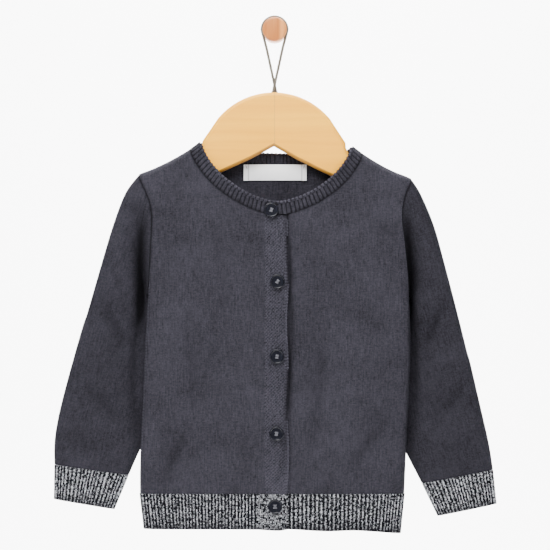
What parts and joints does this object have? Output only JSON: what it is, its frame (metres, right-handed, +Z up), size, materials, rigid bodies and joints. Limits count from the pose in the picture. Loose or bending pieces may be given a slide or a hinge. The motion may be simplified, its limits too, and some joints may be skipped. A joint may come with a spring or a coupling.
{
  "type": "baby cardigan on a hanger",
  "caption": "Buttoned baby cardigan with long sleeves, ribbed neck, cuffs and hem, hung on a small wooden hanger whose string loops over a wall peg.",
  "frame": {"origin": "middle of the peg's flat back face, where it meets the wall", "axes": "+Z up, +X along the hanger to the wearer's left, the garment's front faces -Y and the wall lies on +Y"},
  "size_m": [0.3901, 0.0492, 0.4547],
  "materials": {
    "knit_jersey": "fine charcoal cotton jersey, matt",
    "neck_rib": "charcoal rib knit, matt",
    "marl_rib": "black and pale grey marl rib knit, matt",
    "label_satin": "white woven satin, soft sheen, bare",
    "hanger_wood": "pale honey wood, satin varnish",
    "peg_wood": "turned pale beech, satin",
    "string": "twisted cotton string, matt",
    "button": "near-black four-hole buttons, polished"
  },
  "bodies": {
    "root": {"right_front": "knit_jersey", "left_front": "knit_jersey", "back_panel": "knit_jersey", "right_sleeve": "knit_jersey", "left_sleeve": "knit_jersey", "neck_rib": "neck_rib", "right_front_hem_rib": "marl_rib", "left_front_hem_rib": "marl_rib", "back_hem_rib": "marl_rib", "right_cuff": "marl_rib", "left_cuff": "marl_rib", "label": "label_satin", "hanger": "hanger_wood", "wall_peg": "peg_wood", "hanger_string": "string", "button_1": "button", "button_2": "button", "button_3": "button", "button_4": "button", "button_5": "button"}
  },
  "joints": []
}
